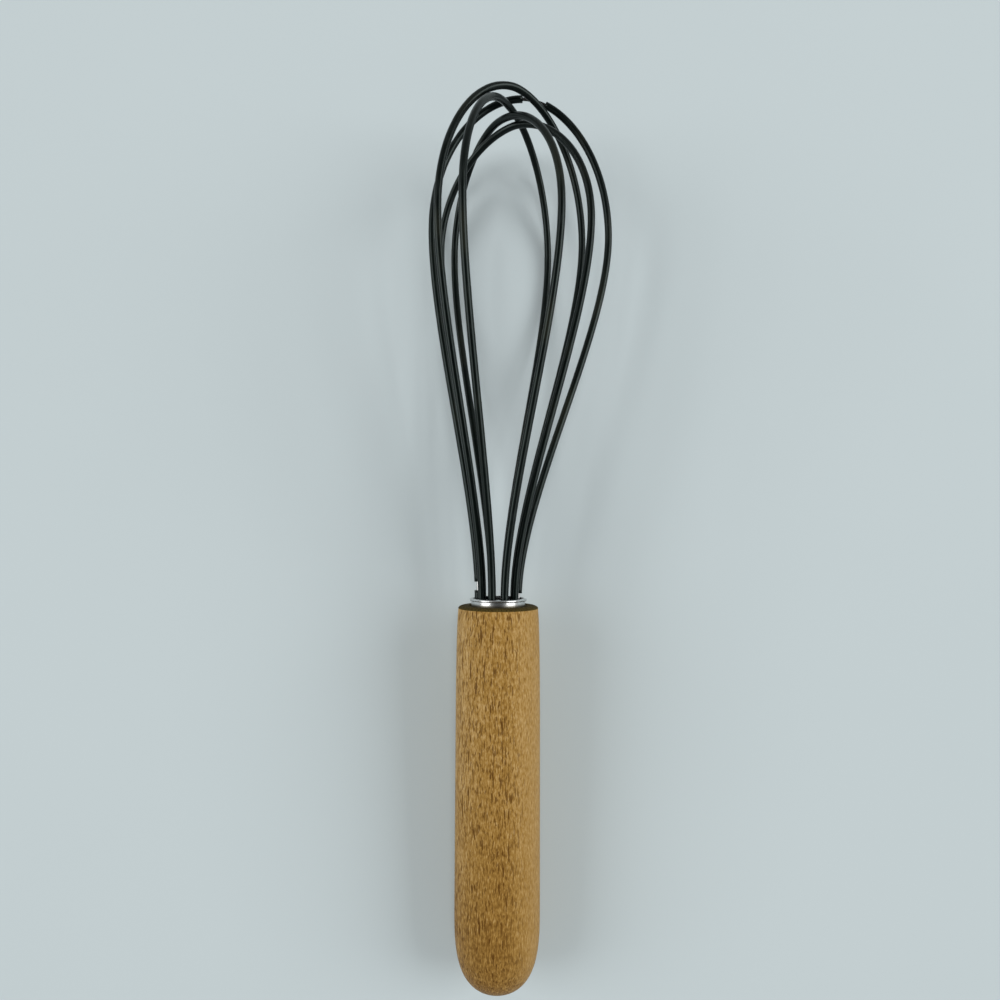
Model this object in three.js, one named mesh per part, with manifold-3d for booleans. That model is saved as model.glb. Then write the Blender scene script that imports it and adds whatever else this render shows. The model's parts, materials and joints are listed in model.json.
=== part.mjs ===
// Balloon whisk: a turned wooden handle, a steel ferrule and five sleeved wire loops.
// Millimetres. The whisk is built along +Y with its handle's end face at y = 0, the tip
// towards +Y and the top towards +Z, and is then laid on its side on the plane z = 0.

import * as THREE from 'three';
import { mergeVertices } from 'three/addons/utils/BufferGeometryUtils.js';
import Module from 'manifold-3d';

// Handle
const handleLength = 106.2;
const handleRadius = 12;
const endFaceRadius = 10.2;
const rimRadius = 11.4;
const rimDrop = 0.5;
const mouthDepth = 0.5;
const shoulderLength = 6;
const swellLength = 34;
const domeLength = 20;
const domeFlank = 0.62;
const domeFlatness = 0.84;

// Ferrule
const ferruleRadius = 7.7;
const ferruleWall = 0.4;
const ferruleDepth = 25;
const lipHeight = 2.1;
const lipRadius = 8.2;
const lipThickness = 0.8;
const ferruleFit = 0.1;

// Resin that locks the wire ends in the ferrule
const resinTop = 0.7;
const resinDish = 0.3;
const bondGap = 0.05;

// Wire and sleeve
const wireDiameter = 1;
const wireDepth = 22;
const sleeveDiameter = 2.2;
const sleeveFit = 0.1;
const sleeveDepth = 3;

// Ring of legs in the ferrule, and the balloon above it
const loopCount = 5;
const rootMargin = 0.5;
const bellyHeight = 112.5;
const bellyRadius = 28;
const bellySag = 3;
const crownHeight = 154;
const crownGap = 0.6;

// How far each bend's pull reaches, as a share of the stretch that it shapes
const rootPull = 0.26;
const bellyPullDown = 0.27;
const bellyPullUp = 0.59;
const crownPull = 0.48;

// Breaks in the worn loop's sleeve
const stubHeight = 4.3;
const breakHeight = 6.8;
const splitBefore = 0.7;
const splitAfter = 6.7;
const pulledHeight = 3.5;

// Facets
const turnedSides = 32;
const sleeveSides = 8;
const wireSides = 6;
const holeSides = 12;
const flankPitch = 14.5;
const crownPitch = 4.5;
const curveSteps = 8;
const weldDistance = 1e-5;
const tiltHalvings = 40;

const boreRadius = ferruleRadius + ferruleFit;
const mouthRadius = lipRadius + ferruleFit;
const resinRadius = ferruleRadius - ferruleWall - bondGap;
const wireRadius = wireDiameter / 2;
const sleeveRadius = sleeveDiameter / 2;
const rootRadius = ferruleRadius - ferruleWall - rootMargin - sleeveRadius;
const legTurn = 180 / loopCount;
const nestPitch = sleeveDiameter + crownGap;

// Each loop has a leg on the right and one on the left. Twist turns a leg's belly away from
// its place on the ring, in degrees; reach is how far the belly stands out. The crown lies at
// x and z from the axis, and nest counts how many sleeves it sits below the topmost crown.
// Reach, x and z are shares of the belly's radius.
const loops = [
  {
    name: 'a', place: -1, nest: -0.15, crown: { x: 0.16, z: -0.05 },
    right: { twist: 10, reach: 1.04 }, left: { twist: -2, reach: 0.79 },
  },
  {
    name: 'b', place: -2, nest: 1.1, crown: { x: 0.09, z: -0.18 },
    right: { twist: 15, reach: 1.06 }, left: { twist: 5, reach: 0.91 },
  },
  {
    name: 'c', place: 2, nest: 2, crown: { x: -0.02, z: -0.34 },
    right: { twist: -29, reach: 0.84 }, left: { twist: -13, reach: 1.04 },
  },
  {
    name: 'd', place: 1, nest: 2.8, crown: { x: 0.16, z: -0.27 },
    right: { twist: -22, reach: 0.98 }, left: { twist: 10, reach: 0.98 },
  },
  {
    name: 'e', place: 0, nest: -0.2, crown: { x: 0.27, z: -0.27 }, worn: true,
    right: { twist: -12, reach: 1.23 }, left: { twist: 5, reach: 0.73 },
  },
];

const finishes = {
  beech: { color: 0xb08a50, roughness: 0.6, metalness: 0 },
  polishedSteel: { color: 0xd8dadb, roughness: 0.15, metalness: 1 },
  springSteel: { color: 0x9a9c9e, roughness: 0.3, metalness: 1 },
  blackSleeve: { color: 0x1a1d1c, roughness: 0.5, metalness: 0 },
  resin: { color: 0x141414, roughness: 0.4, metalness: 0 },
};

function piece(name, geometry, finish) {
  const mesh = new THREE.Mesh(geometry, new THREE.MeshStandardMaterial(finish));
  mesh.name = name;
  return mesh;
}

// A turned solid from a profile of radius and height.
function turned(profile) {
  const points = profile.getPoints(curveSteps);
  return new THREE.LatheGeometry(points.reverse(), turnedSides);
}

function handleGeometry() {
  const swellEnd = -swellLength;
  const domeStart = domeLength - handleLength;
  const profile = new THREE.Path();
  profile.moveTo(0, -ferruleDepth - ferruleFit);
  profile.lineTo(boreRadius, -ferruleDepth - ferruleFit);
  profile.lineTo(boreRadius, -mouthDepth);
  profile.lineTo(mouthRadius, 0);
  profile.lineTo(endFaceRadius, 0);
  profile.quadraticCurveTo((endFaceRadius + rimRadius) / 2, 0, rimRadius, -rimDrop);
  profile.quadraticCurveTo(handleRadius, -shoulderLength, handleRadius, swellEnd);
  profile.lineTo(handleRadius, domeStart);
  profile.bezierCurveTo(
    handleRadius, domeStart - domeFlank * domeLength,
    domeFlatness * handleRadius, -handleLength,
    0, -handleLength,
  );
  return turned(profile);
}

function ferruleGeometry() {
  const inside = ferruleRadius - ferruleWall;
  const underLip = lipHeight - lipThickness;
  const profile = new THREE.Path();
  profile.moveTo(inside, -ferruleDepth);
  profile.lineTo(inside, underLip - ferruleWall);
  profile.quadraticCurveTo(inside, lipHeight, lipRadius - lipThickness, lipHeight);
  profile.quadraticCurveTo(lipRadius, lipHeight, lipRadius, lipHeight - lipThickness / 2);
  profile.quadraticCurveTo(lipRadius, underLip, ferruleRadius, underLip);
  profile.lineTo(ferruleRadius, -ferruleDepth);
  profile.lineTo(inside, -ferruleDepth);
  return turned(profile);
}

// The centre line of a loop, from the foot of its left leg over the crown to the right foot.
function loopPath(loop) {
  const crown = new THREE.Vector3(
    bellyRadius * loop.crown.x, crownHeight - loop.nest * nestPitch, bellyRadius * loop.crown.z,
  );
  const half = (leg, side) => {
    const rootAngle = THREE.MathUtils.degToRad(loop.place * legTurn + side);
    const bellyAngle = rootAngle + THREE.MathUtils.degToRad(leg.twist);
    const root = new THREE.Vector3(
      rootRadius * Math.cos(rootAngle), lipHeight, rootRadius * Math.sin(rootAngle),
    );
    const foot = root.clone().setY(-wireDepth);
    const reach = bellyRadius * leg.reach;
    const belly = new THREE.Vector3(
      reach * Math.cos(bellyAngle), bellyHeight, reach * Math.sin(bellyAngle) - bellySag,
    );
    const flank = bellyHeight - lipHeight;
    const shoulder = crown.y - bellyHeight;
    const outward = belly.clone().sub(crown).setY(0);
    return {
      foot,
      root,
      rootEase: root.clone().setY(root.y + rootPull * flank),
      bellyEaseDown: belly.clone().setY(belly.y - bellyPullDown * flank),
      belly,
      bellyEaseUp: belly.clone().setY(belly.y + bellyPullUp * shoulder),
      crownEase: crown.clone().addScaledVector(outward, crownPull),
    };
  };
  const left = half(loop.left, 180);
  const right = half(loop.right, 0);
  const path = new THREE.CurvePath();
  path.add(new THREE.LineCurve3(left.foot, left.root));
  path.add(new THREE.CubicBezierCurve3(left.root, left.rootEase, left.bellyEaseDown, left.belly));
  path.add(new THREE.CubicBezierCurve3(left.belly, left.bellyEaseUp, left.crownEase, crown));
  path.add(new THREE.CubicBezierCurve3(crown, right.crownEase, right.bellyEaseUp, right.belly));
  path.add(new THREE.CubicBezierCurve3(right.belly, right.bellyEaseDown, right.rootEase, right.root));
  path.add(new THREE.LineCurve3(right.root, right.foot));
  return path;
}

// Lengths along a loop's path where its sleeves start and end.
function sleeveSpans(loop, path) {
  const total = path.getLength();
  const crown = path.getCurveLengths()[2];
  const onLeft = (height) => wireDepth + height;
  const onRight = (height) => total - wireDepth - height;
  const foot = resinTop - sleeveDepth;
  if (!loop.worn) {
    return { sleeve: [onLeft(foot), onRight(foot)] };
  }
  return {
    stub: [onLeft(foot), onLeft(stubHeight)],
    left: [onLeft(breakHeight), crown - splitBefore],
    right: [crown + splitAfter, onRight(pulledHeight)],
  };
}

// Stations along a path: close together over the crown, with one where each leg starts to bend
// and one at each length in stops.
function stationsAlong(path, stops) {
  const [leftRoot, leftBelly, , rightBelly, rightRoot, total] = path.getCurveLengths();
  const edges = [0, leftRoot, leftBelly, rightBelly, rightRoot, total, ...stops];
  edges.sort((p, q) => p - q);
  const lengths = [0];
  for (let i = 1; i < edges.length; i += 1) {
    const stretch = edges[i] - edges[i - 1];
    const overCrown = edges[i - 1] >= leftBelly && edges[i] <= rightBelly;
    const steps = Math.ceil(stretch / (overCrown ? crownPitch : flankPitch));
    for (let k = 1; k < steps; k += 1) {
      lengths.push(edges[i - 1] + (stretch * k) / steps);
    }
    lengths.push(edges[i]);
  }
  const stations = [];
  for (const length of lengths) {
    const at = path.getPoint(length / total);
    const along = path.getTangent(length / total);
    const last = stations.at(-1);
    const across = last ? last.across.clone() : new THREE.Vector3(at.x, 0, at.z);
    across.addScaledVector(along, -across.dot(along)).normalize();
    stations.push({ length, at, across, third: along.clone().cross(across) });
  }
  return stations;
}

// A tube through stations; with no bore it is a solid rod.
function tube(stations, radius, sides, bore = 0) {
  const corners = [];
  const faces = [];
  const ring = (station, size) => {
    for (let k = 0; k < sides; k += 1) {
      const turn = (2 * Math.PI * k) / sides;
      const corner = station.at.clone();
      corner.addScaledVector(station.across, size * Math.cos(turn));
      corner.addScaledVector(station.third, size * Math.sin(turn));
      corners.push(...corner);
    }
    return corners.length / 3 - sides;
  };
  const band = (from, to) => {
    for (let k = 0; k < sides; k += 1) {
      const next = (k + 1) % sides;
      faces.push(from + k, from + next, to + next, from + k, to + next, to + k);
    }
  };
  const cap = (from, flip) => {
    for (let k = 1; k + 1 < sides; k += 1) {
      faces.push(from, from + (flip ? k + 1 : k), from + (flip ? k : k + 1));
    }
  };
  const skin = stations.map((station) => ring(station, radius));
  for (let i = 1; i < skin.length; i += 1) {
    band(skin[i - 1], skin[i]);
  }
  if (bore) {
    const wall = stations.map((station) => ring(station, bore));
    for (let i = 1; i < wall.length; i += 1) {
      band(wall[i], wall[i - 1]);
    }
    band(wall[0], skin[0]);
    band(skin.at(-1), wall.at(-1));
  } else {
    cap(skin[0], true);
    cap(skin.at(-1), false);
  }
  const geometry = new THREE.BufferGeometry();
  geometry.setAttribute('position', new THREE.Float32BufferAttribute(corners, 3));
  geometry.setIndex(faces);
  geometry.computeVertexNormals();
  return geometry;
}

const wasm = await Module();
wasm.setup();

function toSolid(geometry) {
  const bare = new THREE.BufferGeometry();
  bare.setAttribute('position', geometry.getAttribute('position'));
  bare.setIndex(geometry.getIndex());
  const merged = mergeVertices(bare, weldDistance);
  return new wasm.Manifold(new wasm.Mesh({
    numProp: 3,
    vertProperties: Float32Array.from(merged.getAttribute('position').array),
    triVerts: Uint32Array.from(merged.getIndex().array),
  }));
}

function fromSolid(solid) {
  const mesh = solid.getMesh();
  const geometry = new THREE.BufferGeometry();
  geometry.setAttribute('position', new THREE.Float32BufferAttribute(mesh.vertProperties, 3));
  geometry.setIndex([...mesh.triVerts]);
  geometry.computeVertexNormals();
  return geometry;
}

// The resin plug, dished on top, with a hole for each wire end and for each sleeve end in it.
function resinGeometry() {
  const profile = new THREE.Path();
  profile.moveTo(0, resinTop - resinDish);
  profile.quadraticCurveTo(resinRadius / 2, resinTop - resinDish, resinRadius, resinTop);
  profile.lineTo(resinRadius, -ferruleDepth);
  profile.lineTo(0, -ferruleDepth);
  let plug = toSolid(turned(profile));
  const drill = (angle, legRadius, from) => {
    const bottom = from - bondGap;
    const size = (legRadius + bondGap) / Math.cos(Math.PI / holeSides);
    const bit = new THREE.CylinderGeometry(size, size, lipHeight - bottom, holeSides);
    bit.translate(rootRadius * Math.cos(angle), (lipHeight + bottom) / 2, rootRadius * Math.sin(angle));
    plug = plug.subtract(toSolid(bit));
  };
  for (const loop of loops) {
    for (const side of [0, 180]) {
      const angle = THREE.MathUtils.degToRad(loop.place * legTurn + side);
      const sleeved = !(loop.worn && side === 0);
      drill(angle, wireRadius, -wireDepth);
      if (sleeved) {
        drill(angle, sleeveRadius, resinTop - sleeveDepth);
      }
    }
  }
  return fromSolid(plug);
}

const grip = new THREE.Group();
grip.name = 'grip';
grip.add(piece('handle', handleGeometry(), finishes.beech));
grip.add(piece('ferrule', ferruleGeometry(), finishes.polishedSteel));
grip.add(piece('resin_plug', resinGeometry(), finishes.resin));

const balloon = new THREE.Group();
balloon.name = 'balloon';
for (const loop of loops) {
  const path = loopPath(loop);
  const spans = sleeveSpans(loop, path);
  const stations = stationsAlong(path, Object.values(spans).flat());
  balloon.add(piece(`wire_${loop.name}`, tube(stations, wireRadius, wireSides), finishes.springSteel));
  for (const [part, [from, to]] of Object.entries(spans)) {
    const covered = stations.filter((station) => station.length >= from && station.length <= to);
    const name = part === 'sleeve' ? `sleeve_${loop.name}` : `sleeve_${loop.name}_${part}`;
    const skin = tube(covered, sleeveRadius, sleeveSides, wireRadius + sleeveFit);
    balloon.add(piece(name, skin, finishes.blackSleeve));
  }
}

const whisk = new THREE.Group();
whisk.name = 'whisk';
whisk.add(grip, balloon);

// The lowest point of a group when the whisk is tipped up by an angle.
function lowest(group, tilt) {
  whisk.rotation.x = tilt;
  whisk.updateMatrixWorld(true);
  return new THREE.Box3().setFromObject(group, true).min.z;
}

// Lying down, the whisk is tipped so that its handle and its balloon both touch the plane.
function lyingTilt() {
  let flat = 0;
  let steep = Math.PI / 4;
  for (let i = 0; i < tiltHalvings; i += 1) {
    const middle = (flat + steep) / 2;
    if (lowest(grip, middle) > lowest(balloon, middle)) {
      flat = middle;
    } else {
      steep = middle;
    }
  }
  return flat;
}

whisk.rotation.x = lyingTilt();
whisk.updateMatrixWorld(true);
const extent = new THREE.Box3().setFromObject(whisk, true);
const middle = extent.getCenter(new THREE.Vector3());
whisk.position.set(-middle.x, -middle.y, -extent.min.z);

const part = new THREE.Group();
part.name = 'balloon_whisk';
part.add(whisk);

export default part;
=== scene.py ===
"""Looks for a balloon whisk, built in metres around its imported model.

A turned beech handle holds a polished steel ferrule. Five spring-wire loops in black
sleeves stand in the ferrule, set in resin, and one sleeve has worn through to its wire.
The whisk lies on a pale floor with its tip towards +Y.
"""

import json
import logging
import math
from dataclasses import dataclass, fields
from enum import Enum
from typing import Any, NamedTuple

import bmesh
import bpy
from mathutils import Matrix, Vector
from mathutils.geometry import interpolate_bezier


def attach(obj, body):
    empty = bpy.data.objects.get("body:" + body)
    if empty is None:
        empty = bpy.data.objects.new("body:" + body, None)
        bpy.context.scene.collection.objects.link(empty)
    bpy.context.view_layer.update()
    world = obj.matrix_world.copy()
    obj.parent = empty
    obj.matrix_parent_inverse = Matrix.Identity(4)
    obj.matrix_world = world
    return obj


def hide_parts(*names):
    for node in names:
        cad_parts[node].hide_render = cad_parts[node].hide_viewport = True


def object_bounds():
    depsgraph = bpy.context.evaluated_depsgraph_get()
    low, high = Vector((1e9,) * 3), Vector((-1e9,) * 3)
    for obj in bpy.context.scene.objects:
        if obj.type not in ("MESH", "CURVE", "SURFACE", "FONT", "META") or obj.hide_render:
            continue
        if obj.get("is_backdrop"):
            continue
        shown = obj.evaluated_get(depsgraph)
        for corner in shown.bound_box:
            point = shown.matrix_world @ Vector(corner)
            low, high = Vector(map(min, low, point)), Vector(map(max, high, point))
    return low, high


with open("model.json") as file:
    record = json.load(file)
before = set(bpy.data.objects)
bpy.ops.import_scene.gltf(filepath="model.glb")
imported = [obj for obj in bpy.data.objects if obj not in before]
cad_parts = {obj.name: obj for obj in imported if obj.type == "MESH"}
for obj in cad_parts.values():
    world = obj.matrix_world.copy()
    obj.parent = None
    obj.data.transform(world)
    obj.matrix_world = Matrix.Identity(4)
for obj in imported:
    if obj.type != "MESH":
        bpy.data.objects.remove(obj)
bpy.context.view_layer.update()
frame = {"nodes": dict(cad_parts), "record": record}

MM = 0.001
PER_MM = (1.0 / MM, 1.0 / MM, 1.0 / MM)
THIRD = 1.0 / 3.0
NOISE_MIDDLE = 0.5
ROOT = "root"
REST_MOUNT = "fork_rest"
REST_RADIUS = 9.2 * MM
SWEEP_ATTRIBUTE = "sweep"

log = logging.getLogger("whisk")
Colour = tuple[float, float, float, float]
Triple = tuple[float, float, float]
Range = tuple[float, float]


class Slot(Enum):
    """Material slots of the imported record."""

    BEECH = "beech"
    POLISHED_STEEL = "polished_steel"
    SPRING_STEEL = "spring_steel"
    BLACK_SLEEVE = "black_sleeve"


class Side(Enum):
    """The two legs of a loop, by the angle at which they stand in the ferrule."""

    RIGHT = 0.0
    LEFT = 180.0


def paint(red: float, green: float, blue: float) -> Colour:
    """Returns an opaque linear colour."""
    return (red, green, blue, 1.0)


def show(name: str, data: bpy.types.ID) -> bpy.types.Object:
    """Links a new object to the scene.

    Args:
        name: The object's name.
        data: Its mesh, curve, camera or lamp.

    Returns:
        The object, at the origin.
    """
    made = bpy.data.objects.new(name, data)
    bpy.context.scene.collection.objects.link(made)
    return made


def pick(sockets: Any, key: str | int) -> bpy.types.NodeSocket:
    """Finds a socket.

    Args:
        sockets: A node's inputs or outputs.
        key: The socket's place, its identifier or, if it is in use, its name.

    Returns:
        The socket.
    """
    if isinstance(key, int):
        return sockets[key]
    for socket in sockets:
        if socket.identifier == key:
            return socket
    return next(socket for socket in sockets if socket.name == key and socket.enabled)


class Value:
    """A node's output that takes part in Python expressions."""

    def __init__(self, graph: "Graph", socket: bpy.types.NodeSocket) -> None:
        """Wraps a socket of a graph, which new Math nodes are added to."""
        self.graph = graph
        self.socket = socket

    def other(self, key: str | int) -> "Value":
        """Returns another output of the same node, by its name, identifier or place."""
        return Value(self.graph, pick(self.socket.node.outputs, key))

    def math(self, operation: str, first: Any, second: Any) -> "Value":
        """Returns the result of a new Math node for two numbers or values."""
        return self.graph.node("ShaderNodeMath", {"operation": operation}, {0: first, 1: second})

    def __add__(self, other: Any) -> "Value":
        """Returns the sum."""
        return self.math("ADD", self, other)

    def __radd__(self, other: Any) -> "Value":
        """Returns the sum."""
        return self.math("ADD", other, self)

    def __sub__(self, other: Any) -> "Value":
        """Returns the difference."""
        return self.math("SUBTRACT", self, other)

    def __rsub__(self, other: Any) -> "Value":
        """Returns the difference, from the right."""
        return self.math("SUBTRACT", other, self)

    def __mul__(self, other: Any) -> "Value":
        """Returns the product."""
        return self.math("MULTIPLY", self, other)

    def peak(self, other: Any) -> "Value":
        """Returns the larger of the two."""
        return self.math("MAXIMUM", self, other)

    def swing(self, amount: Any) -> "Value":
        """Returns how far a noise lies from its middle, times an amount."""
        return (self - NOISE_MIDDLE) * amount

    def between(self, low: float, high: float) -> "Value":
        """Returns a smooth step from 0 at low to 1 at high."""
        settings = {"interpolation_type": "SMOOTHSTEP"}
        return self.graph.node("ShaderNodeMapRange", settings, {0: self, 1: low, 2: high})


class Graph:
    """A node tree that is written as expressions."""

    def __init__(self, tree: bpy.types.NodeTree) -> None:
        """Starts on a tree with no nodes."""
        self.tree = tree
        tree.nodes.clear()

    def node(
        self,
        kind: str,
        settings: dict[str, Any] | None = None,
        inputs: dict[str | int, Any] | None = None,
    ) -> Value:
        """Adds a node.

        Args:
            kind: The node's type.
            settings: Its properties, which are set first; stops holds a ramp's colours.
            inputs: A value or a link for each socket, by its place, identifier or name.

        Returns:
            The node's first output, or its first input where it has no output.
        """
        made = self.tree.nodes.new(kind)
        for name, setting in (settings or {}).items():
            if name == "stops":
                self._set_stops(made.color_ramp, setting)
            else:
                setattr(made, name, setting)
        for key, value in (inputs or {}).items():
            socket = pick(made.inputs, key)
            if isinstance(value, Value):
                self.tree.links.new(value.socket, socket)
            else:
                socket.default_value = value
        return Value(self, made.outputs[0]) if made.outputs else Value(self, made.inputs[0])

    @staticmethod
    def _set_stops(ramp: bpy.types.ColorRamp, stops: list[tuple[float, Colour]]) -> None:
        """Gives a ramp its colours.

        Args:
            ramp: The ramp, which starts with two stops.
            stops: The place and the colour of each stop, two or more.
        """
        while len(ramp.elements) < len(stops):
            ramp.elements.new(1.0)
        for element, (place, colour) in zip(ramp.elements, stops):
            element.position = place
            element.color = colour

    def mix(self, factor: Any, first: Any, second: Any) -> Value:
        """Returns a mix of two colours, the first at factor 0 and the second at 1."""
        inputs = {"Factor_Float": factor, "A_Color": first, "B_Color": second}
        return self.node("ShaderNodeMix", {"data_type": "RGBA"}, inputs).other("Result_Color")

    def stretch(self, vector: Value, scale: Triple) -> Value:
        """Returns a vector with each part times its own scale."""
        return self.node("ShaderNodeVectorMath", {"operation": "MULTIPLY"}, {0: vector, 1: scale})

    def split(self, vector: Value) -> tuple[Value, Value, Value]:
        """Returns the three parts of a vector."""
        first = self.node("ShaderNodeSeparateXYZ", {}, {"Vector": vector})
        return first, first.other("Y"), first.other("Z")

    def distance(self, vector: Value, centre: Triple) -> Value:
        """Returns how far a vector is from a fixed point."""
        inputs = {0: vector, 1: centre}
        return self.node("ShaderNodeVectorMath", {"operation": "DISTANCE"}, inputs).other("Value")

    def noise(self, vector: Value, detail: float, rough: float) -> Value:
        """Returns a noise in space, with one feature for each unit of the vector."""
        inputs = {"Vector": vector, "Scale": 1.0, "Detail": detail, "Roughness": rough}
        return self.node("ShaderNodeTexNoise", {"noise_dimensions": "3D"}, inputs)

    def line_noise(self, way: Value) -> Value:
        """Returns a noise along one number, with one feature for each unit."""
        inputs = {"W": way, "Scale": 1.0, "Detail": 2.0}
        return self.node("ShaderNodeTexNoise", {"noise_dimensions": "1D"}, inputs)


class Surface(Graph):
    """A material that ends in one Principled shader."""

    def __init__(self, name: str) -> None:
        """Makes an empty material.

        Args:
            name: The material's name.
        """
        self.material = bpy.data.materials.new(name)
        self.material.use_nodes = True
        super().__init__(self.material.node_tree)

    def place(self) -> Value:
        """Returns the object's own coordinates, in metres."""
        return self.node("ShaderNodeTexCoord").other("Object")

    def millimetres(self) -> Value:
        """Returns the object's own coordinates, in millimetres."""
        return self.stretch(self.place(), PER_MM)

    def sweep(self) -> Value:
        """Returns the way round and the way along a swept piece, in millimetres."""
        return self.node("ShaderNodeAttribute", {"attribute_name": SWEEP_ATTRIBUTE}).other("Vector")

    def bump(self, height: Value, depth: float, strength: float) -> Value:
        """Returns a normal that a relief bends, by its depth in metres and its strength."""
        inputs = {"Height": height, "Distance": depth, "Strength": strength}
        return self.node("ShaderNodeBump", {}, inputs)

    def shade(self, **sockets: Any) -> bpy.types.Material:
        """Ends the material in a Principled shader.

        Args:
            sockets: The shader's sockets, with an underscore for each space.

        Returns:
            The finished material.
        """
        inputs = {name.replace("_", " "): value for name, value in sockets.items()}
        shader = self.node("ShaderNodeBsdfPrincipled", {}, inputs)
        self.node("ShaderNodeOutputMaterial", {}, {"Surface": shader})
        return self.material


@dataclass(frozen=True)
class Grain:
    """A noise with its own features for each unit in three directions, and where a patch starts."""

    rate: Triple
    detail: float = 2.0
    rough: float = 0.5
    edge: Range = (0.0, 1.0)

    def read(self, point: Value) -> Value:
        """Returns the noise at a surface's points."""
        return point.graph.noise(point.graph.stretch(point, self.rate), self.detail, self.rough)

    def patches(self, point: Value) -> Value:
        """Returns where the noise is past its edge, from 0 to 1."""
        return self.read(point).between(*self.edge)


@dataclass(frozen=True)
class Placement:
    """Where the whisk lies: its own axis, and the centre of its handle's end face."""

    origin: Vector
    axis: Vector

    @classmethod
    def from_frame(cls) -> "Placement":
        """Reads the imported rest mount.

        Returns:
            The placement that it gives.
        """
        mount = next(m for m in frame["record"]["mounts"] if m["name"] == REST_MOUNT)
        origin = Vector(mount["pos_m"]) - Vector((REST_RADIUS, 0.0, 0.0))
        return cls(origin, Vector(mount["axis"]).normalized())

    @property
    def tilt(self) -> float:
        """How far the whisk's axis rises from the floor, in radians."""
        return math.atan2(self.axis.z, self.axis.y)

    @property
    def matrix(self) -> Matrix:
        """The turn and shift from the whisk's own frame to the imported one."""
        return Matrix.Translation(self.origin) @ Matrix.Rotation(self.tilt, 4, "X")

    def millimetres(self, surface: Surface) -> Value:
        """Turns a surface's points into the whisk's own frame.

        Args:
            surface: The surface.

        Returns:
            Its points, in millimetres.
        """
        inputs = {
            "Vector": surface.place(),
            "Location": self.origin,
            "Rotation": (self.tilt, 0.0, 0.0),
            "Scale": (MM, MM, MM),
        }
        return surface.node("ShaderNodeMapping", {"vector_type": "TEXTURE"}, inputs)


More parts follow.
